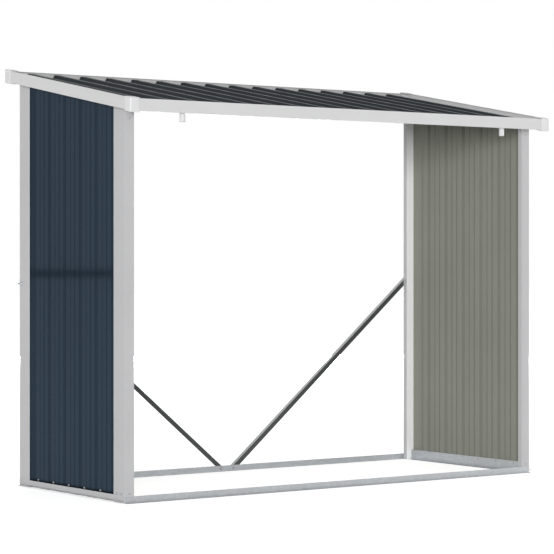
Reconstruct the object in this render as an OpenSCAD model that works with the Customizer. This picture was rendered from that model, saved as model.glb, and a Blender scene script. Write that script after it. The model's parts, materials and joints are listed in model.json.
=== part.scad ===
// Open-fronted metal log store with a single-pitch roof.
// The posts, rails, beams, trims and gutter are folded from sheet metal, the roof and the two
// side walls are roll-formed ribbed sheets. The low eave with the gutter is the front.
// Millimetres, X to the right along the front, Y to the rear, Z up, floor at Z = 0.

/* [Frame] */
// Width over the outer faces of the posts
frame_w = 2040; // [1700:5:2500]
// Depth over the outer faces of the posts
frame_d = 796; // [640:2:1100]
// Height of the roof sheets' underside over the front face of the front posts
eave_h = 1503.5; // [1250:0.5:1900]
// Pitch of the roof in degrees
roof_pitch = 10.1; // [5:0.1:16]
// Thickness of the folded frame metal
frame_t = 1.2; // [0.8:0.1:2]

/* [Posts] */
// Width of a post's face, seen from the front or the rear
post_face_w = 42; // [32:1:60]
// Depth of a post's side flange, which covers the edge of the wall sheet
post_side_d = 78; // [60:1:100]
// Depth of a post's box, between its face and its inner side
post_return_d = 23; // [12:1:40]

/* [Base rails] */
// Height of the front and rear rails
rail_h = 26; // [20:1:45]
// Height of the side rails
side_rail_h = 20; // [16:1:40]
// Height of the side rails' lower edge above the floor
side_rail_lift = 9; // [0:0.5:12]
// Width of the rails' outward flange
rail_flange_w = 18; // [10:1:22]
// Length of the splice over the joint in the front and rear rails
splice_l = 240; // [120:5:320]
// Distance of that joint from the middle, positive to the right
splice_x = -64; // [-200:2:200]

/* [Wall sheets] */
// Thickness of the wall and roof sheets
sheet_t = 1; // [0.6:0.1:1.4]
// Distance between the ribs of a wall sheet
wall_pitch = 118; // [100:1:120]
// Distance of the row of ribs in front of the middle of the wall
wall_rib_shift = 20; // [0:1:20]
// Depth of the wall ribs, which stand inward
wall_rib_h = 6; // [4:0.5:9]
// Width of a wall rib's flat crest
wall_crest_w = 30; // [20:1:32]
// Width of each sloping side of a wall rib
wall_slope_w = 14; // [8:1:15]
// Distance from the inner face of a post's side flange to the wall sheet
wall_set_in = 7; // [4:0.5:9]
// Distance from a post's face to the edge of the wall sheet behind it
wall_edge_gap = 18; // [10:1:24]
// Height of the wall sheets' lower edge above the floor
wall_lift = 2; // [1:0.5:6]

/* [Roof sheets] */
// Distance between the ribs of the roof
roof_rib_pitch = 125; // [115:1:130]
// Height of the roof ribs
roof_rib_h = 13; // [7:0.5:16]
// Width of a roof rib's flat crest
roof_crest_w = 24; // [16:1:32]
// Width of each sloping side of a roof rib
roof_slope_w = 6; // [3:1:12]
// Width of the lip that laps over the next sheet
sheet_lap_w = 20; // [10:1:26]
// Distance that the sheets reach in front of the posts, into the gutter
sheet_reach = 60; // [35:1:75]

/* [Trims] */
// Overhang of the roof in front of the posts
front_overhang = 91; // [85:1:140]
// Overhang of the roof behind the posts
rear_overhang = 67; // [45:1:100]
// Overhang of the roof at each side
side_overhang = 32; // [24:1:60]
// Height of a side trim above the roof sheets' underside
trim_rise = 23.5; // [18:0.5:32]
// Depth of a side trim below the roof sheets' underside
trim_drop = 23.5; // [18:0.5:40]
// Width of the folded-in lip along the top of the trims
trim_lip_w = 8; // [4:1:12]
// Height of the gutter's front
gutter_h = 47; // [40:1:52]
// Depth of the drip edge below the gutter's floor
drip_h = 8; // [3:0.5:10]
// Width of the drip edge
drip_w = 4; // [4:0.5:8]
// Height of the rear trim
rear_trim_h = 43; // [36:1:48]

/* [Caps and spouts] */
// Wall thickness of the moulded corner caps
cap_t = 2; // [1.5:0.25:3]
// Length of a corner cap's sides
cap_w = 43; // [36:1:60]
// Distance from the trims' lower edge to the underside of a cap
cap_drop = 5; // [2:0.5:10]
// Radius of the caps' upright edges
cap_r = 5; // [1:0.5:8]
// Distance of the spouts from the outer faces of the posts
spout_inset = 216; // [120:2:400]
// Distance of the spouts in front of the posts
spout_reach = 65; // [40:1:68]
// Outer diameter of a spout
spout_d = 22; // [16:1:28]
// Wall thickness of a spout
spout_t = 2; // [1:0.25:4]
// Length of a spout below the gutter's floor
spout_l = 40; // [24:1:80]

/* [Beams and braces] */
// Height of the beams between the posts and of the rails at the top of the walls
beam_h = 31; // [26:1:40]
// Height of the rails at the foot of the walls, inside
foot_rail_h = 44; // [36:1:60]
// Width of the beams' flanges
beam_flange_w = 25; // [15:1:26]
// Height at which a brace meets its post
brace_top = 822; // [500:2:1100]
// Distance of the braces' feet from the middle
brace_gap = 32; // [32:1:300]
// Width of a brace's flange against the post
brace_w = 20; // [14:1:24]
// Width of a brace's flange that stands out to the rear
brace_stand = 20; // [12:1:30]

/* [Hidden] */
$fn = 48;
overrun = 4;
clearance = 0.4;
sheet_end_gap = 3;
bead_h = 2;
bead_w = 9;
joggle_w = 3;
wall_joggle_w = 10;
post_gap = 4;
sheet_count = 4;
spout_flange_t = 1.6;
spout_flange_w = 4;
pad_l = 40;

pitch_rise = tan(roof_pitch);
pitch_cos = cos(roof_pitch);
half_w = frame_w / 2;
roof_half_w = half_w + side_overhang;
trim_half_w = roof_half_w - cap_t;
front_y = (front_overhang - rear_overhang - frame_d) / 2;
rear_y = front_y + frame_d;
mid_y = front_y + frame_d / 2;
roof_front_y = front_y - front_overhang;
roof_rear_y = rear_y + rear_overhang;
gutter_y = roof_front_y + cap_t;
rear_trim_y = roof_rear_y - cap_t;
rear_eave_h = eave_h + frame_d * pitch_rise;
gutter_floor = eave_h - (front_y - gutter_y) * pitch_rise - trim_drop / pitch_cos;
rear_trim_floor = eave_h + (rear_trim_y - front_y) * pitch_rise - trim_drop / pitch_cos;
wall_face_x = half_w - frame_t;
wall_ribs = floor((frame_d - 2 * wall_edge_gap) / wall_pitch);
wall_inner_x = wall_face_x - wall_set_in - sheet_t;
wall_crest_x = wall_inner_x - wall_rib_h;
wall_rail_w = wall_crest_x - half_w + post_face_w - frame_t - post_gap;
sheet_half_w = trim_half_w - frame_t - sheet_end_gap;
sheet_ribs = floor(2 * sheet_half_w / (sheet_count * roof_rib_pitch));
sheet_start = -sheet_reach / pitch_cos;
sheet_end = (rear_trim_y - frame_t - sheet_end_gap - front_y) / pitch_cos;
tall = roof_half_w + roof_half_w;
pale = [0.8, 0.81, 0.82];
white = [0.9, 0.9, 0.9];
zinc = [0.7, 0.73, 0.76];
slate = [0.19, 0.24, 0.28];
charcoal = [0.2, 0.21, 0.23];

// Section of a folded strip: p is one face of the metal, which lies to the left of it
function unit(v) = v / norm(v);
function left_of(v) = [-v[1], v[0]];
function bend_point(p, i, t) =
  let (
    last = len(p) - 1,
    before = left_of(unit(p[max(i, 1)] - p[max(i, 1) - 1])),
    after = left_of(unit(p[min(i, last - 1) + 1] - p[min(i, last - 1)]))
  )
  p[i] + t * (before + after) / (1 + before * after);
function folded(p, t) = concat(p, [for (i = [len(p) - 1:-1:0]) bend_point(p, i, t)]);

// A trapezoid rib centred on c, h deep, as the bends of a folded strip
function rib(c, crest, slope, h) = [
  [c - crest / 2 - slope, 0],
  [c - crest / 2, h],
  [c + crest / 2, h],
  [c + crest / 2 + slope, 0]
];
function bead(c) = [[c - bead_w / 2, 0], [c, bead_h], [c + bead_w / 2, 0]];
function joined(lists) = [for (list = lists) each list];

// Extrude a section drawn in X and Z along Y, from y0 to y1
module along_y(y0, y1) {
  translate([0, y1, 0]) rotate([90, 0, 0]) linear_extrude(y1 - y0) children();
}

// Extrude a section drawn in Y and Z along X, from x0 to x1
module along_x(x0, x1) {
  translate([x0, 0, 0]) rotate([90, 0, 90]) linear_extrude(x1 - x0) children();
}

// The frame of the roof: Z = 0 is the underside of the sheets, Y runs up the slope
module on_roof() {
  translate([0, front_y, eave_h]) rotate([roof_pitch, 0, 0]) children();
}

// Everything above the underside of the roof sheets, or above a plane parallel to it
module above_roof(offset_z) {
  on_roof() translate([-tall, -tall, offset_z]) cube(tall + tall);
}

module left_or_right(side) {
  if (side < 0) children();
  if (side > 0) mirror([1, 0, 0]) children();
}

module front_or_rear(end) {
  if (end < 0) children();
  if (end > 0) translate([0, mid_y, 0]) mirror([0, 1, 0]) translate([0, -mid_y, 0]) children();
}

// Base rails

function rail_section(out, h) = folded([[-rail_flange_w - frame_t - out, out], [-out, out], [-out, h]], frame_t);

module rail_length(end, x0, x1) {
  color(zinc) front_or_rear(end) translate([0, front_y, 0])
    along_x(x0, x1) polygon(rail_section(0, rail_h));
}

module front_splice() {
  color(zinc) translate([splice_x, front_y, 0])
    along_x(-splice_l / 2, splice_l / 2) polygon(rail_section(frame_t, rail_h));
}

// The rear splice lies inside the rail, clear of the braces' feet
module rear_splice() {
  color(zinc) translate([splice_x - splice_l / 2, rear_y - frame_t, 0])
    cube([splice_l, frame_t, rail_h]);
}

module side_rail(side) {
  color(pale) left_or_right(side) translate([-half_w, 0, side_rail_lift])
    along_y(front_y, rear_y) polygon(rail_section(0, side_rail_h));
}

// Posts, folded into a box that closes on the wall sheet's inner side

module post(side, end) {
  sheet_x = end < 0 ? half_w - wall_inner_x : frame_t + sheet_t;
  color(pale) difference() {
    left_or_right(side) front_or_rear(end) translate([-half_w, front_y, 0])
      linear_extrude(rear_eave_h + overrun)
        polygon(folded([
          [0, post_side_d], [0, 0], [post_face_w, 0],
          [post_face_w, post_return_d], [sheet_x, post_return_d]
        ], frame_t));
    above_roof(0);
  }
}

// Wall sheets, with ribs that stand inward. The front edge is folded out against its post, and
// the rear edge is joggled out to lie flat against its post's side flange.

function wall_rib_y(i) = mid_y - wall_rib_shift + (i - (wall_ribs - 1) / 2) * wall_pitch;
function wall_rib(i) = rib(wall_rib_y(i), wall_crest_w, wall_slope_w, wall_rib_h);

wall_joggle_y = wall_rib_y(wall_ribs - 1) + wall_crest_w / 2 + wall_slope_w + joggle_w;
wall_bends = joined([
  [[front_y + wall_edge_gap, -wall_set_in], [front_y + wall_edge_gap, 0]],
  wall_rib(0),
  for (i = [1:wall_ribs - 1])
    concat(bead(wall_rib_y(i) - wall_pitch / 2), wall_rib(i)),
  [
    [wall_joggle_y, 0],
    [wall_joggle_y + wall_joggle_w, -wall_set_in],
    [rear_y - wall_edge_gap, -wall_set_in]
  ]
]);

module wall_sheet(side) {
  color(slate) difference() {
    left_or_right(side) translate([wall_set_in - wall_face_x, 0, wall_lift])
      rotate([0, 0, 90]) mirror([0, 1, 0]) linear_extrude(rear_eave_h)
        polygon(folded(wall_bends, sheet_t));
    above_roof(0);
  }
}

// Rails inside the walls, against the crests of the ribs

module foot_rail(side) {
  color(zinc) left_or_right(side) translate([-wall_crest_x, 0, 0])
    along_y(front_y + post_return_d + post_gap, rear_y - post_return_d - post_gap)
      polygon(folded([[0, foot_rail_h], [0, 0], [wall_rail_w, 0]], frame_t));
}

module top_rail(side) {
  rail_start = (post_return_d + post_gap) / pitch_cos;
  color(zinc) on_roof() left_or_right(side) translate([-wall_crest_x, 0, 0])
    along_y(rail_start, frame_d / pitch_cos - rail_start)
      polygon(folded([[wall_rail_w, 0], [0, 0], [0, -beam_h]], frame_t));
}

// Beams under the roof

module front_beam() {
  color(zinc) translate([0, front_y, eave_h])
    along_x(post_face_w - half_w, half_w - post_face_w)
      polygon(folded([
        [beam_flange_w, beam_flange_w * pitch_rise], [0, 0], [0, -beam_h], [beam_flange_w, -beam_h]
      ], frame_t));
}

module rear_beam() {
  color(zinc) translate([0, rear_y, rear_eave_h])
    along_x(post_face_w - half_w, half_w - post_face_w)
      polygon(folded([
        [-beam_flange_w, -beam_h], [0, -beam_h], [0, 0], [-beam_flange_w, -beam_flange_w * pitch_rise]
      ], frame_t));
}

// Roof sheets, each lapping over the next one to the right

function roof_rib_x(i) = (i - (sheet_count * sheet_ribs - 1) / 2) * roof_rib_pitch;
function sheet_edge_x(n) =
  n == 0 ? -sheet_half_w
  : n == sheet_count ? sheet_half_w
  : roof_rib_x(n * sheet_ribs) - roof_rib_pitch / 2;

module roof_sheet(n) {
  left_gap = n == 0 ? 0 : clearance;
  right_x = sheet_edge_x(n + 1);
  last = n == sheet_count - 1;
  bends = joined([
    [[sheet_edge_x(n) + left_gap, 0]],
    for (i = [n * sheet_ribs:(n + 1) * sheet_ribs - 1])
      rib(roof_rib_x(i), roof_crest_w, roof_slope_w, roof_rib_h),
    last ? [[right_x, 0]] : [[right_x - joggle_w, 0], [right_x, sheet_t], [right_x + sheet_lap_w, sheet_t]]
  ]);
  color(charcoal) on_roof() along_y(sheet_start, sheet_end) polygon(folded(bends, sheet_t));
}

// Gutter and trims around the roof

module gutter() {
  reach = front_y - gutter_y;
  back_h = eave_h - frame_t * pitch_rise - gutter_floor;
  color(white) difference() {
    translate([0, front_y, gutter_floor])
      along_x(-half_w, half_w)
        polygon(folded([
          [trim_lip_w - reach, gutter_h], [-reach, gutter_h], [-reach, 0],
          [drip_w - reach, 0], [drip_w - reach, drip_h], [0, drip_h], [0, back_h]
        ], frame_t));
    for (side = [-1, 1])
      left_or_right(side) at_spout() translate([0, 0, -overrun])
        cylinder(d = spout_d + 2 * clearance, h = frame_t + 2 * overrun);
  }
}

module rear_trim() {
  reach = rear_trim_y - rear_y;
  color(white) translate([0, rear_y, rear_trim_floor])
    along_x(-half_w, half_w)
      polygon(folded([
        [0, rear_eave_h - rear_trim_floor], [0, 0], [reach, 0],
        [reach, rear_trim_h], [reach - trim_lip_w, rear_trim_h]
      ], frame_t));
}

module side_trim(side) {
  reach = trim_half_w - half_w;
  color(white) left_or_right(side) intersection() {
    on_roof() translate([-half_w, 0, 0])
      along_y(-tall / 2, tall)
        polygon(folded([
          [trim_lip_w - reach, trim_rise], [-reach, trim_rise],
          [-reach, -trim_drop], [0, -trim_drop], [0, 0]
        ], frame_t));
    translate([-tall, gutter_y, 0]) cube([tall, rear_trim_y - gutter_y, tall]);
  }
}

// Moulded caps over the corners of the trims

module cap_block(side, end) {
  corner = [-roof_half_w, end < 0 ? roof_front_y : roof_rear_y - cap_w, 0];
  left_or_right(side) translate(corner) linear_extrude(tall) {
    translate([cap_r, 0]) square([cap_w - 2 * cap_r, cap_w]);
    translate([0, cap_r]) square([cap_w, cap_w - 2 * cap_r]);
    for (x = [cap_r, cap_w - cap_r])
      for (y = [cap_r, cap_w - cap_r])
        translate([x, y]) circle(cap_r);
  }
}

// The space that the ends of the trims take up inside a cap
module trim_ends(side, end) {
  channel_y = end < 0 ? gutter_y : rear_trim_y - cap_w;
  channel_floor = end < 0 ? gutter_floor : rear_trim_floor;
  left_or_right(side) intersection() {
    translate([-trim_half_w, channel_y, 0]) cube([trim_half_w - half_w, cap_w, tall]);
    above_roof(-trim_drop);
  }
  left_or_right(side) translate([-half_w, channel_y, channel_floor]) cube([cap_w, cap_w, tall]);
}

module corner_cap(side, end) {
  color(white) difference() {
    intersection() {
      cap_block(side, end);
      above_roof(-trim_drop - cap_drop);
    }
    above_roof(trim_rise + cap_t);
    difference() {
      trim_ends(side, end);
      above_roof(trim_rise);
    }
  }
}

// Spouts that drain the gutter

module at_spout() {
  translate([spout_inset - half_w, front_y - spout_reach, gutter_floor + drip_h]) children();
}

module spout(side) {
  color(white) left_or_right(side) at_spout() difference() {
    union() {
      translate([0, 0, -spout_l]) cylinder(d = spout_d, h = spout_l + frame_t + spout_flange_t);
      translate([0, 0, frame_t]) cylinder(d = spout_d + 2 * spout_flange_w, h = spout_flange_t);
    }
    translate([0, 0, -spout_l - overrun])
      cylinder(d = spout_d - 2 * spout_t, h = spout_l + spout_flange_t + frame_t + 2 * overrun);
  }
}

// Braces from the rear posts down to the rear rail

module brace(side) {
  top_x = post_face_w / 2;
  across = half_w - brace_gap - top_x;
  down = brace_top - rail_h / 2;
  fall = atan2(down, across);
  run = norm([across, down]);
  half_pad = pad_l / 2;
  color(pale) left_or_right(side) intersection() {
    translate([top_x - half_w, rear_y + frame_t, brace_top]) rotate([0, fall, 0]) {
      along_x(-half_pad, run + half_pad) translate([0, brace_w / 2])
        polygon(folded([[brace_stand, 0], [0, 0], [0, -brace_w]], frame_t));
      translate([-half_pad, -frame_t, -brace_w / 2]) cube([pad_l, frame_t, brace_w]);
    }
    translate([-tall, rear_y, frame_t]) cube([tall + tall, tall, tall]);
  }
}

rail_length(-1, -half_w, splice_x);  // front_rail_left
rail_length(-1, splice_x, half_w);  // front_rail_right
front_splice();  // front_rail_splice
rail_length(1, -half_w, splice_x);  // rear_rail_left
rail_length(1, splice_x, half_w);  // rear_rail_right
rear_splice();  // rear_rail_splice
side_rail(-1);  // left_rail
side_rail(1);  // right_rail
post(-1, -1);  // front_left_post
post(1, -1);  // front_right_post
post(-1, 1);  // rear_left_post
post(1, 1);  // rear_right_post
wall_sheet(-1);  // left_wall_sheet
wall_sheet(1);  // right_wall_sheet
foot_rail(-1);  // left_foot_rail
foot_rail(1);  // right_foot_rail
top_rail(-1);  // left_top_rail
top_rail(1);  // right_top_rail
front_beam();
rear_beam();
roof_sheet(0);  // roof_sheet_1
roof_sheet(1);  // roof_sheet_2
roof_sheet(2);  // roof_sheet_3
roof_sheet(3);  // roof_sheet_4
gutter();
rear_trim();
side_trim(-1);  // left_trim
side_trim(1);  // right_trim
corner_cap(-1, -1);  // front_left_cap
corner_cap(1, -1);  // front_right_cap
corner_cap(-1, 1);  // rear_left_cap
corner_cap(1, 1);  // rear_right_cap
spout(-1);  // left_spout
spout(1);  // right_spout
brace(-1);  // left_brace
brace(1);  // right_brace
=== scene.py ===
"""Looks of an open-fronted metal log store: finishes, fasteners, floor, light and camera."""

import json
import math

import bmesh
import bpy
from mathutils import Matrix, Vector


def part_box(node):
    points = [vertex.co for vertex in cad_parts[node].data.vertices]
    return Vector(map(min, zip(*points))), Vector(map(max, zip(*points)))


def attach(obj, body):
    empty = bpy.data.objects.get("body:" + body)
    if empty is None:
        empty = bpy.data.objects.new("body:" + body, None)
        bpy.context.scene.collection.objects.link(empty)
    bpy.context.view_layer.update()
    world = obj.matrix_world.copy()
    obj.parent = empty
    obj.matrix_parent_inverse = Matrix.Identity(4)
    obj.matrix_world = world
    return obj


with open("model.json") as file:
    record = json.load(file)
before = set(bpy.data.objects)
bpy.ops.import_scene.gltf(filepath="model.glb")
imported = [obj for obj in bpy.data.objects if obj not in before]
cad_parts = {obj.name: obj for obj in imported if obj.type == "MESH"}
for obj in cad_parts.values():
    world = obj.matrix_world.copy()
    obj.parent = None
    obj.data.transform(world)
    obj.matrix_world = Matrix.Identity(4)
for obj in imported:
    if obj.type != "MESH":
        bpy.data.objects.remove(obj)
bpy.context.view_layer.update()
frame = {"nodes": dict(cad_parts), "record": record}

# Sizes in metres, as in the part's source
SHEET_T = 0.001
FRAME_T = 0.0012
WALL_RIBS = 6
WALL_PITCH = 0.118
WALL_RIB_SHIFT = 0.020
POST_FACE_W = 0.042
ROOF_PITCH = math.radians(10.1)
ROOF_RIBS = 16
ROOF_RIB_PITCH = 0.125
ROOF_SHEET_RIBS = 4

# Rounding of the folds
WELD_REACH = 0.00001
FOLD_ROUNDING = 0.0004
FOLD_SEGMENTS = 2
FOLD_ANGLE = math.radians(20)

# Places of the fasteners
WALL_SCREW_Z = 0.0325
WALL_SCREW_SHIFT = -0.005
FOOT_SCREW_Z = 0.034
TOP_SCREW_DROP = 0.022
FACE_SCREW_IN = 0.0205
FRONT_SIDE_SCREWS_IN = (0.019, 0.057)
REAR_SIDE_SCREWS_IN = (0.019,)
EAVE_SCREW_DROP = 0.021
ROOF_SCREW_IN = 0.013
ROOF_SCREW_SHIFT = 0.008
BRACE_TOP = 0.822
BRACE_FOOT_Z = 0.013
BRACE_GAP = 0.032
POST_BOLT_Z = 0.816
POST_BOLT_IN = 0.015

# Sizes of the fasteners: radius of head and washer, and a nut's width and thickness with its bolt
WALL_SCREW = {"head": 0.0034, "washer": 0.0040}
POST_SCREW = {"head": 0.0040, "washer": 0.0050}
ROOF_SCREW = {"head": 0.0035, "washer": 0.0060}
POST_BOLT = {"head": 0.0055, "washer": 0.0070}
BRACE_BOLT = {"head": 0.0050, "washer": 0.0070}
WALL_NUT = {"across": 0.007, "thick": 0.0032, "shank": 0.002, "stub": 0.002}
POST_NUT = {"across": 0.010, "thick": 0.005, "shank": 0.003, "stub": 0.009, "washer": 0.009}
BRACE_NUT = {"across": 0.010, "thick": 0.005, "shank": 0.003, "stub": 0.003, "washer": 0.009}

# Forms of the fasteners, as parts of a washer's radius and thickness, and of a head's or bolt's radius
WASHER_T = 0.0012
WASHER_FORM = ((0, 0), (1, 0), (1, 0.6), (0.9, 1), (0, 1))
HEAD_FORM = ((1, 0), (1, 0.25), (0.93, 0.46), (0.72, 0.6))
RECESS_DEPTH = 0.3
RECESS_REACH = 0.5
NUT_CHAMFER = 0.9
BOLT_TIP = (0.8, 0.3)
NUT_SIDES = 6
BOLT_STEPS = 14
ROUND_STEPS = 20
SMOOTH_ANGLE = math.radians(32)

# Grain of the finishes, in marks to the metre
CLOUD = 2.3
SCUFF_AND_HIGHLIGHT = 55
STREAK = 14
ORANGE_PEEL = 620
SPANGLE = 85
ZINC_CLOUD = 3.1
ZINC_GRAIN = 240
SKIN_CLOUD = 18
SKIN_GLOSS = 60
SKIN_GRAIN = 1500
PLATING = 160
PLATING_GLOSS = 420

# Darkest and lightest tone of each finish, as factors of its colour
PAINT_TONES = (0.97, 1.03)
ZINC_TONES = (0.95, 1.05)
SKIN_TONES = (0.97, 1.02)
PLATING_TONES = (0.85, 1.1)

# Roughness of the finishes, and depth of their relief in metres
ZINC_ROUGHNESS = (0.40, 0.52)
SKIN_ROUGHNESS = (0.38, 0.5)
PLATING_ROUGHNESS = (0.25, 0.42)
ZINC_RELIEF = 0.00003
SKIN_RELIEF = 0.00003

# Edges: reach from a fold in metres, and the cosine to the rounded normal where one begins and is full
PAINT_EDGE = 0.0012
ZINC_EDGE = 0.0010
SKIN_EDGE = 0.0015
EDGE_COSINES = (0.97, 0.80)
EDGE_SAMPLES = 6

# Painted shade along a wall's foot: its share at the bottom, and its tone
FOOT_SHADE_SHARE = 0.8
FOOT_SHADE_TONE = 0.1

# Y of the normal on slopes that face the front, where their painted shade is full and where it ends
SLOPE_SHADE_NORMALS = (-0.30, -0.12)

# Normal times place along an axis: below this, a side faces the inside of the store
INWARD = -0.02

# Camera, worked out from the photo's vanishing points
PHOTO_SIZE = 554
CAMERA_AT = (-5.332, -7.290, 0.916)
CAMERA_YAW = math.radians(36)
FOCAL_PIXELS = 2173
HORIZON_PIXEL = 258.7
SENSOR = 36

# Floor: size, drop below the feet, colour, and its own glow in the picture, which makes it white
FLOOR_SIZE = 80
FLOOR_DROP = 0.0002
FLOOR_COLOUR = (0.82, 0.82, 0.82, 1)
FLOOR_GLOW = 0.66

# Light of the studio on the object
WORLD_LIGHT = 0.46

# The dim line where the studio's floor ends, which only glossy paint shows: height, half width, depth
HORIZON_Z = -0.0068
HORIZON_HALF = 0.0034
HORIZON_DIP = 1.0

# Lamps: name, place, target, size in metres, watts
LAMPS = (
    ("key", (-17.5, -17.85, 2.8), (0, 0, 0.8), (11, 5), 4480),
    ("right_fill", (6.2, -2.6, 1.2), (1, 0, 0.8), (2, 1.6), 80),
    ("rear_fill", (6, 10, 1.0), (0, 0, 0.8), (5, 1.6), 880),
)


# Nodes of the finishes and of the studio

class Nodes:
    """Adds nodes to a material or to the world."""

    def __init__(self, tree):
        self.tree = tree

    def node(self, kind, settings=None, **sockets):
        """A new node; sockets are given by name, with _ for a space, as a value or another node's output."""
        made = self.tree.nodes.new(kind)
        for name, value in (settings or {}).items():
            setattr(made, name, value)
        for name, value in sockets.items():
            self.feed(made.inputs[name.replace("_", " ")], value)
        return made

    def feed(self, socket, value):
        """Sets a socket to a value, or links another node's output to it."""
        if isinstance(value, bpy.types.NodeSocket):
            self.tree.links.new(value, socket)
        else:
            socket.default_value = value

    def maths(self, operation, first, second=0.0):
        """One of Blender's sums, on one or two values."""
        made = self.node("ShaderNodeMath", {"operation": operation})
        self.feed(made.inputs[0], first)
        self.feed(made.inputs[1], second)
        return made.outputs[0]

    def ranged(self, value, low, high, start=0.3, stop=0.7, curve="LINEAR"):
        """A value that goes from low to high as another goes from start to stop."""
        made = self.node(
            "ShaderNodeMapRange", {"interpolation_type": curve},
            Value=value, From_Min=start, From_Max=stop, To_Min=low, To_Max=high,
        )
        return made.outputs["Result"]

    def seen_directly(self):
        """1 for rays from the camera, from a glossy surface or through glass, 0 for light on the object."""
        light = self.node("ShaderNodeLightPath")
        total = light.outputs["Is Camera Ray"]
        for name in ("Is Glossy Ray", "Is Transmission Ray"):
            total = self.maths("MAXIMUM", total, light.outputs[name])
        return total


class Finish(Nodes):
    """A material built node by node around one Principled shader."""

    def __init__(self, name):
        self.material = bpy.data.materials.new(name)
        self.material.use_nodes = True
        super().__init__(self.material.node_tree)
        self.tree.nodes.clear()
        self.shader = self.node("ShaderNodeBsdfPrincipled")
        self.node("ShaderNodeOutputMaterial", Surface=self.shader.outputs["BSDF"])
        self.place = self.node("ShaderNodeTexCoord").outputs["Object"]

    def set(self, **sockets):
        """Sets the shader's own sockets."""
        for name, value in sockets.items():
            self.feed(self.shader.inputs[name.replace("_", " ")], value)

    def noise(self, scale, detail=3.0, stretch=(1, 1, 1)):
        """Soft noise over the piece, from 0 to 1."""
        spread = self.node("ShaderNodeVectorMath", {"operation": "MULTIPLY"})
        self.feed(spread.inputs[0], self.place)
        self.feed(spread.inputs[1], stretch)
        grain = self.node("ShaderNodeTexNoise", Vector=spread.outputs[0], Scale=scale, Detail=detail)
        return grain.outputs["Fac"]

    def mixed(self, share, first, second, blend="MIX"):
        """Two colours mixed by a share of the second."""
        made = self.node("ShaderNodeMix", {"data_type": "RGBA", "blend_type": blend})
        self.feed(made.inputs[0], share)
        self.feed(made.inputs[6], first)
        self.feed(made.inputs[7], second)
        return made.outputs[2]

    def toned(self, share, colour, tones):
        """A colour that varies between two tones of itself."""
        dark, light = tones
        return self.mixed(share, shaded(colour, dark), shaded(colour, light))

    def edges(self, radius):
        """How much an edge is near, from 0 on flat metal to 1 on a fold, and the rounded normal."""
        rounded = self.node("ShaderNodeBevel", {"samples": EDGE_SAMPLES}, Radius=radius).outputs["Normal"]
        flat = self.node("ShaderNodeNewGeometry").outputs["Normal"]
        made = self.node("ShaderNodeVectorMath", {"operation": "DOT_PRODUCT"})
        self.feed(made.inputs[0], rounded)
        self.feed(made.inputs[1], flat)
        return self.ranged(made.outputs["Value"], 0.0, 1.0, *EDGE_COSINES), rounded

    def bump(self, height, distance, strength, normal):
        """Fine relief on top of the rounded edges."""
        made = self.node("ShaderNodeBump", Height=height, Distance=distance, Strength=strength)
        self.feed(made.inputs["Normal"], normal)
        return made.outputs["Normal"]

    def along(self, vector, axis):
        """One part of a vector: X, Y or Z."""
        return self.node("ShaderNodeSeparateXYZ", Vector=vector).outputs[axis]

    def outward(self, axis):
        """1 on the side of a sheet that faces away from the store, 0 on the inner side."""
        geometry = self.node("ShaderNodeNewGeometry")
        normal = self.along(geometry.outputs["True Normal"], axis)
        place = self.along(geometry.outputs["Position"], axis)
        return self.maths("GREATER_THAN", self.maths("MULTIPLY", normal, place), INWARD)


def shaded(colour, factor):
    return (*(channel * factor for channel in colour), 1.0)


# Finishes

def painted(name, outer, inner=None, axis="Y", roughness=(0.3, 0.42), specular=0.3, metallic=0.0,
            rim=1.0, peel=0.00004, wear_and_highlight=1.2, foot=None, slope_shade=None):
    """Coil-coated or powder-coated steel: orange peel, a slight cloudiness, and edges paler from wear and
    painted highlight.

    The inner side may have a colour of its own. foot gives the two heights between which a line of painted
    shade at the sheet's foot fades out, and the last argument the factor of painted shade on slopes that
    face the front.
    """
    finish = Finish(name)
    cloud = finish.ranged(finish.noise(CLOUD), 0.0, 1.0)
    coat = finish.toned(cloud, outer, PAINT_TONES)
    if inner:
        outside = finish.outward(axis)
        back = finish.toned(cloud, inner, PAINT_TONES)
        coat = finish.mixed(outside, back, coat)
        if metallic:
            finish.set(Metallic=finish.maths("MULTIPLY", outside, metallic))
            finish.set(Specular_Tint=(rim, rim, rim, 1.0))
    if foot:
        # Painted shade: a dark line along the sheet's foot, darkest at the bottom and fading out between the
        # two heights
        foot_shade_line = finish.ranged(finish.along(finish.place, "Z"), FOOT_SHADE_SHARE, 0.0, *foot)
        coat = finish.mixed(foot_shade_line, coat, shaded(outer, FOOT_SHADE_TONE))
    if slope_shade:
        # Painted shade: slopes that face the front are darkened by a factor
        normal = finish.node("ShaderNodeNewGeometry").outputs["True Normal"]
        slope_shade_share = finish.ranged(finish.along(normal, "Y"), 1.0, 0.0, *SLOPE_SHADE_NORMALS)
        coat = finish.mixed(slope_shade_share, coat, (slope_shade, slope_shade, slope_shade, 1.0), "MULTIPLY")
    edge, rounded = finish.edges(PAINT_EDGE)
    # Paler edges: partly scuffed wear, partly a painted highlight along the folds
    scuff_and_highlight = finish.maths("MULTIPLY", edge, finish.ranged(finish.noise(SCUFF_AND_HIGHLIGHT, 4.0), 0.2, 1.0, 0.35, 0.65))
    worn_and_highlit = finish.mixed(scuff_and_highlight, coat, shaded(outer, wear_and_highlight))
    streak = finish.ranged(finish.noise(STREAK, 3.0, (1, 1, 0.04)), *roughness)
    finish.set(Base_Color=worn_and_highlit, Roughness=streak, Specular_IOR_Level=specular)
    finish.set(Normal=finish.bump(finish.noise(ORANGE_PEEL, 2.0), peel, 0.6, rounded))
    return finish.material


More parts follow.
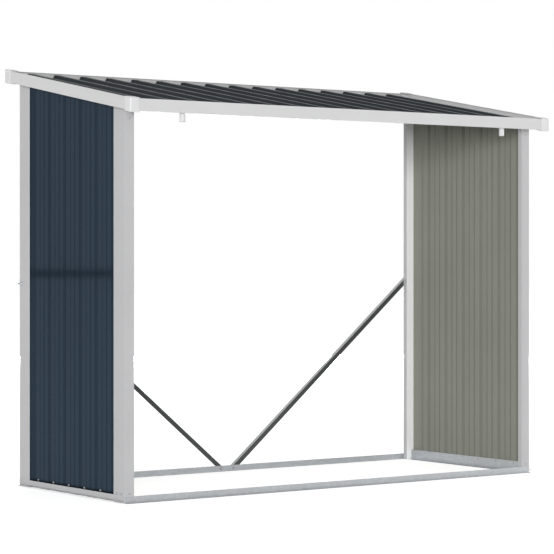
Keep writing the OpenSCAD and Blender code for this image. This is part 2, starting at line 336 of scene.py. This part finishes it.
def galvanised(name, colour):
    """Hot-dip zinc: angular spangle of a centimetre or so, each grain with its own tone and gloss."""
    finish = Finish(name)
    grain = finish.node("ShaderNodeTexVoronoi", Vector=finish.place, Scale=SPANGLE, Randomness=1.0)
    tone = finish.node("ShaderNodeSeparateColor", Color=grain.outputs["Color"])
    cloud = finish.ranged(finish.noise(ZINC_CLOUD), 0.0, 1.0)
    zinc = finish.toned(finish.ranged(tone.outputs[0], 0.0, 1.0, 0.0, 1.0), colour, ZINC_TONES)
    zinc = finish.mixed(finish.maths("MULTIPLY", cloud, 0.3), zinc, shaded(colour, 0.86))
    edge, rounded = finish.edges(ZINC_EDGE)
    # Painted highlight: the zinc is made much lighter along its edges
    zinc = finish.mixed(edge, zinc, shaded(colour, 1.45))
    gloss = finish.ranged(tone.outputs[1], *ZINC_ROUGHNESS, 0.0, 1.0)
    finish.set(Base_Color=zinc, Metallic=0.85, Roughness=gloss)
    finish.set(Normal=finish.bump(finish.noise(ZINC_GRAIN), ZINC_RELIEF, 0.5, rounded))
    return finish.material


def moulded(name, colour):
    """Injection-moulded plastic with a fine grained skin."""
    finish = Finish(name)
    cloud = finish.ranged(finish.noise(SKIN_CLOUD), 0.0, 1.0)
    edge, rounded = finish.edges(SKIN_EDGE)
    skin = finish.toned(cloud, colour, SKIN_TONES)
    # Painted highlight: the skin is a little lighter along the edges
    skin = finish.mixed(finish.maths("MULTIPLY", edge, 0.5), skin, shaded(colour, 1.03))
    gloss = finish.ranged(finish.noise(SKIN_GLOSS), *SKIN_ROUGHNESS)
    finish.set(Base_Color=skin, Roughness=gloss, Specular_IOR_Level=0.4)
    finish.set(Normal=finish.bump(finish.noise(SKIN_GRAIN, 1.0), SKIN_RELIEF, 0.5, rounded))
    return finish.material


def plated(name, colour):
    """Zinc-plated steel of screws, nuts and washers."""
    finish = Finish(name)
    tint = finish.toned(finish.ranged(finish.noise(PLATING), 0.0, 1.0), colour, PLATING_TONES)
    gloss = finish.ranged(finish.noise(PLATING_GLOSS), *PLATING_ROUGHNESS)
    finish.set(Base_Color=tint, Metallic=1.0, Roughness=gloss)
    return finish.material


PALE_GREY = (0.490, 0.490, 0.498)
PRIMER = (0.260, 0.264, 0.228)

ZINC = galvanised("galvanised", (0.442, 0.458, 0.474))
PALE = painted("pale_paint", PALE_GREY, inner=(0.92, 0.92, 0.93))
# White trims: the darker inner side is painted shade, and the paler edges are partly wear and partly painted
# highlight
WHITE = painted("white_paint", (0.620, 0.620, 0.624), inner=(0.52, 0.52, 0.52), wear_and_highlight=1.1)
# Slate outside and primer inside, with painted shade along the foot and on the slopes that face the front
SLATE = painted(
    "slate_paint", (0.0325, 0.0493, 0.0703), inner=PRIMER, axis="X",
    roughness=(0.022, 0.038), specular=0.0, metallic=0.5, rim=0.64,
    peel=0.0000004, foot=(0.031, 0.040), slope_shade=0.72,
)
CHARCOAL = painted(
    "charcoal_paint", (0.0320, 0.0372, 0.0415), inner=PRIMER, axis="Z",
    roughness=(0.35, 0.45), specular=0.02,
)
# Braces: pale paint outside, with painted shade as the dark colour of the inner side that faces the front
BRACE_WITH_PAINTED_SHADE = painted("brace_paint_shaded_inside", PALE_GREY, inner=(0.065, 0.070, 0.070))
PLASTIC = moulded("white_plastic", (0.680, 0.680, 0.688))
PLATED = plated("zinc_plated", (0.44, 0.45, 0.47))
NYLON = moulded("washer_nylon", (0.65, 0.66, 0.67))
DARK_SCREW = painted("charcoal_screw", (0.030, 0.035, 0.040), roughness=(0.4, 0.5), specular=0.1)

FINISHES = {
    "galvanised": ZINC,
    "pale_paint": PALE,
    "white_paint": WHITE,
    "slate_paint": SLATE,
    "charcoal_paint": CHARCOAL,
    "white_plastic": PLASTIC,
}
BRACES = ("left_brace", "right_brace")


def dress_frame():
    """Gives every CAD node its finish and a fine rounding of its folds."""
    for part in frame["record"]["subparts"]:
        name = part["node"]
        body = frame["nodes"][name]
        finish = BRACE_WITH_PAINTED_SHADE if name in BRACES else FINISHES[part["material_slot"]]
        body.data.materials.clear()
        body.data.materials.append(finish)
        weld = body.modifiers.new("weld", "WELD")
        weld.merge_threshold = WELD_REACH
        rounding = body.modifiers.new("rounding", "BEVEL")
        rounding.width = FOLD_ROUNDING
        rounding.segments = FOLD_SEGMENTS
        rounding.limit_method = "ANGLE"
        rounding.angle_limit = FOLD_ANGLE
        rounding.harden_normals = True


# Fasteners

class Fasteners:
    """One mesh that gathers the screws and nuts of a group, with a second finish for the screws' washers."""

    HEAD = 0
    WASHER = 1

    def __init__(self, name, head_finish, washer_finish):
        self.name = name
        self.finishes = (head_finish, washer_finish)
        self.mesh = bmesh.new()

    def turned(self, profile, place, finish, steps=ROUND_STEPS):
        """A body of revolution from (radius, height) pairs; returns its last ring."""
        rings = []
        for radius, height in profile:
            count = steps if radius else 1
            angles = [2 * math.pi * i / steps for i in range(count)]
            points = [Vector((radius * math.cos(a), radius * math.sin(a), height)) for a in angles]
            rings.append([self.mesh.verts.new(place @ point) for point in points])
        for low, high in zip(rings, rings[1:]):
            for i in range(steps):
                j = (i + 1) % steps
                corners = [low[i % len(low)], low[j % len(low)], high[j % len(high)], high[i % len(high)]]
                face = self.mesh.faces.new(list(dict.fromkeys(corners)))
                face.material_index = finish
                face.smooth = True
        return rings[-1]

    def recess(self, rim, place, height, depth, reach):
        """Closes a ring at the top of a head, with a cross sunk into it."""
        half = reach / 4
        arm = ((reach, -half), (reach, half), (half, half))
        outline = []
        for turn in range(4):
            spin = Matrix.Rotation(turn * math.pi / 2, 3, "Z")
            outline += [spin @ Vector((x, y, height)) for x, y in arm]
        top = [self.mesh.verts.new(place @ point) for point in outline]
        low = [self.mesh.verts.new(place @ (point - Vector((0, 0, depth)))) for point in outline]
        faces = [self.mesh.faces.new(low)]
        border = []
        for loop in (rim, top):
            for ends in zip(loop, loop[1:] + loop[:1]):
                border.append(self.mesh.edges.get(ends) or self.mesh.edges.new(ends))
        axis = place.to_3x3() @ Vector((0, 0, 1))
        filled = bmesh.ops.triangle_fill(self.mesh, edges=border, normal=axis, use_beauty=True)
        faces += [item for item in filled["geom"] if isinstance(item, bmesh.types.BMFace)]
        for i in range(len(top)):
            j = (i + 1) % len(top)
            faces.append(self.mesh.faces.new((low[i], low[j], top[j], top[i])))
        for face in faces:
            face.material_index = self.HEAD

    def screw(self, at, axis, head, washer):
        """A pan-head screw with a cross recess on a washer, seated at a point and facing along axis."""
        place = seated(at, axis)
        self.turned([(washer * wide, WASHER_T * high) for wide, high in WASHER_FORM], place, self.WASHER)
        side = [(head * wide, WASHER_T + head * high) for wide, high in HEAD_FORM]
        rim = self.turned(side, place, self.HEAD)
        crown = side[-1][1]
        self.recess(rim, place, crown, head * RECESS_DEPTH, head * RECESS_REACH)

    def nut(self, at, axis, across, thick, shank, stub, washer=0.0):
        """A hexagon nut with the end of its bolt, seated at a point and facing along axis."""
        place = seated(at, axis)
        base = 0.0
        if washer:
            base = WASHER_T
            self.turned(((0, 0), (washer, 0), (washer, base), (0, base)), place, self.HEAD)
        corner = across / math.sqrt(3)
        top = base + thick
        sides = ((corner, base), (corner, top * NUT_CHAMFER), (corner * NUT_CHAMFER, top), (0, top))
        self.turned(sides, place, self.HEAD, NUT_SIDES)
        wide, high = BOLT_TIP
        tip = top + stub
        end = tip + shank * high
        stem = ((shank, top), (shank, tip), (shank * wide, end), (0, end))
        self.turned(stem, place, self.HEAD, BOLT_STEPS)

    def done(self):
        """Turns the group into one piece that rides on the store."""
        bmesh.ops.recalc_face_normals(self.mesh, faces=self.mesh.faces)
        for edge in self.mesh.edges:
            edge.smooth = edge.calc_face_angle(0.0) < SMOOTH_ANGLE
        data = bpy.data.meshes.new(self.name)
        self.mesh.to_mesh(data)
        self.mesh.free()
        for finish in self.finishes:
            data.materials.append(finish)
        piece = bpy.data.objects.new(self.name, data)
        bpy.context.scene.collection.objects.link(piece)
        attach(piece, "root")


def seated(at, axis):
    """The placing that puts a fastener's foot at a point and turns it along axis."""
    turn = Vector((0, 0, 1)).rotation_difference(Vector(axis)).to_matrix().to_4x4()
    return Matrix.Translation(Vector(at)) @ turn


post_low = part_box("front_left_post")[0]
front_y = post_low.y
half_w = -post_low.x
rear_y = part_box("rear_left_post")[1].y
mid_y = (front_y + rear_y) / 2
eave_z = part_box("front_beam")[0].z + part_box("rear_beam")[1].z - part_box("rear_beam")[0].z


def roof_z(y):
    """Height of the roof sheets' underside."""
    return eave_z + (y - front_y) * math.tan(ROOF_PITCH)


def wall_screws(side, name):
    """Screws in the grooves of a wall, into the foot rail and the top rail, with their nuts inside."""
    sheet_low, sheet_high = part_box(f"{name}_wall_sheet")
    groove = min(sheet_low.x, sheet_high.x, key=abs)
    group = Fasteners(f"{name}_wall_screws", PLATED, NYLON)
    for i in range(WALL_RIBS):
        y = mid_y - WALL_RIB_SHIFT + (i - (WALL_RIBS - 1) / 2) * WALL_PITCH + WALL_SCREW_SHIFT
        for z in (WALL_SCREW_Z, roof_z(y) - TOP_SCREW_DROP):
            group.screw((groove + side * SHEET_T, y, z), (side, 0, 0), **WALL_SCREW)
            group.nut((groove - side * FRAME_T, y, z), (-side, 0, 0), **WALL_NUT)
    group.done()


def post_screws(side, end, name):
    """Self-tapping screws at the foot and below the eave of a post."""
    face_y = front_y if end < 0 else rear_y
    sides_in = FRONT_SIDE_SCREWS_IN if end < 0 else REAR_SIDE_SCREWS_IN
    face_x = side * (half_w - FACE_SCREW_IN)
    group = Fasteners(f"{name}_post_screws", PLATED, PLATED)
    for side_in in sides_in:
        group.screw((side * half_w, face_y - end * side_in, FOOT_SCREW_Z), (side, 0, 0), **POST_SCREW)
    eave_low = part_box("gutter" if end < 0 else "rear_trim")[0].z
    for z in (FOOT_SCREW_Z, eave_low - EAVE_SCREW_DROP):
        group.screw((face_x, face_y, z), (0, end, 0), **POST_SCREW)
    group.done()


def brace_bolts(side, name):
    """The bolt through a rear post at the height of its brace, and the bolts at the brace's ends."""
    group = Fasteners(f"{name}_brace_bolts", PLATED, PLATED)
    bolt_y = rear_y - POST_BOLT_IN
    group.nut((side * half_w, bolt_y, POST_BOLT_Z), (side, 0, 0), **POST_NUT)
    inner = (side * (half_w - POST_FACE_W), bolt_y, POST_BOLT_Z)
    group.screw(inner, (-side, 0, 0), **POST_BOLT)
    outer = rear_y + 2 * FRAME_T
    ends = ((side * (half_w - POST_FACE_W / 2), BRACE_TOP), (side * BRACE_GAP, BRACE_FOOT_Z))
    for x, z in ends:
        group.screw((x, outer, z), (0, 1, 0), **BRACE_BOLT)
    foot = (side * BRACE_GAP, rear_y - FRAME_T, BRACE_FOOT_Z)
    group.nut(foot, (0, -1, 0), **BRACE_NUT)
    group.done()


def roof_screws():
    """Low screws in the pans of the roof, over the front and the rear beam."""
    group = Fasteners("roof_screws", DARK_SCREW, DARK_SCREW)
    normal = Vector((0, -math.sin(ROOF_PITCH), math.cos(ROOF_PITCH)))
    for i in range(ROOF_RIBS - 1):
        x = (i - (ROOF_RIBS - 2) / 2) * ROOF_RIB_PITCH
        lap = SHEET_T if i % ROOF_SHEET_RIBS == ROOF_SHEET_RIBS - 1 else 0.0
        for y in (front_y + ROOF_SCREW_IN, rear_y - ROOF_SCREW_IN):
            foot = Vector((x + ROOF_SCREW_SHIFT, y, roof_z(y))) + normal * (SHEET_T + lap)
            group.screw(foot, normal, **ROOF_SCREW)
    group.done()


# Stage

def floor():
    """A matt floor that takes the object's shadow, with a glow that only the picture shows."""
    bpy.ops.mesh.primitive_plane_add(size=FLOOR_SIZE, location=(0, 0, -FLOOR_DROP))
    plane = bpy.context.object
    plane.name = "floor"
    material = bpy.data.materials.new("floor")
    material.use_nodes = True
    material.node_tree.nodes.clear()
    nodes = Nodes(material.node_tree)
    matt = nodes.node("ShaderNodeBsdfDiffuse", Color=FLOOR_COLOUR)
    strength = nodes.maths("MULTIPLY", nodes.seen_directly(), FLOOR_GLOW)
    glow = nodes.node("ShaderNodeEmission", Strength=strength)
    both = nodes.node("ShaderNodeAddShader")
    nodes.feed(both.inputs[0], matt.outputs[0])
    nodes.feed(both.inputs[1], glow.outputs[0])
    nodes.node("ShaderNodeOutputMaterial", Surface=both.outputs[0])
    plane.data.materials.append(material)


def horizon(nodes):
    """How much the world dims just below the horizon, for glossy rays alone."""
    facing = nodes.node("ShaderNodeTexCoord").outputs["Generated"]
    height = nodes.node("ShaderNodeSeparateXYZ", Vector=facing).outputs["Z"]
    away = nodes.maths("ABSOLUTE", nodes.maths("SUBTRACT", height, HORIZON_Z))
    dip = nodes.ranged(away, HORIZON_DIP, 0.0, 0.0, HORIZON_HALF, "SMOOTHSTEP")
    return nodes.maths("MULTIPLY", dip, nodes.node("ShaderNodeLightPath").outputs["Is Glossy Ray"])


def surroundings():
    """A white world, which lights the object at a plain level."""
    world = bpy.data.worlds.new("studio")
    bpy.context.scene.world = world
    world.use_nodes = True
    nodes = Nodes(world.node_tree)
    level = nodes.ranged(nodes.seen_directly(), WORLD_LIGHT, 1.0, 0.0, 1.0)
    back = world.node_tree.nodes["Background"]
    nodes.feed(back.inputs["Color"], (1, 1, 1, 1))
    nodes.feed(back.inputs["Strength"], nodes.maths("SUBTRACT", level, horizon(nodes)))


def softbox(name, at, towards, size, power):
    """A rectangular area lamp that faces a point."""
    data = bpy.data.lights.new(name, "AREA")
    data.shape = "RECTANGLE"
    data.size, data.size_y = size
    data.energy = power
    lamp = bpy.data.objects.new(name, data)
    lamp.location = at
    lamp.rotation_euler = (Vector(towards) - Vector(at)).to_track_quat("-Z", "Y").to_euler()
    bpy.context.scene.collection.objects.link(lamp)


def camera():
    """A level camera with the photo's lens, height and angle."""
    data = bpy.data.cameras.new("camera")
    data.sensor_width = SENSOR
    data.lens = FOCAL_PIXELS / PHOTO_SIZE * SENSOR
    data.shift_y = (HORIZON_PIXEL - PHOTO_SIZE / 2) / PHOTO_SIZE
    seen = bpy.data.objects.new("camera", data)
    seen.location = CAMERA_AT
    seen.rotation_euler = (math.pi / 2, 0, -CAMERA_YAW)
    bpy.context.scene.collection.objects.link(seen)
    bpy.context.scene.camera = seen


dress_frame()
for side, name in ((-1, "left"), (1, "right")):
    wall_screws(side, name)
    brace_bolts(side, name)
    for end, place in ((-1, "front"), (1, "rear")):
        post_screws(side, end, f"{place}_{name}")
roof_screws()
floor()
surroundings()
for lamp in LAMPS:
    softbox(*lamp)
camera()
bpy.context.scene.view_settings.view_transform = "Standard"
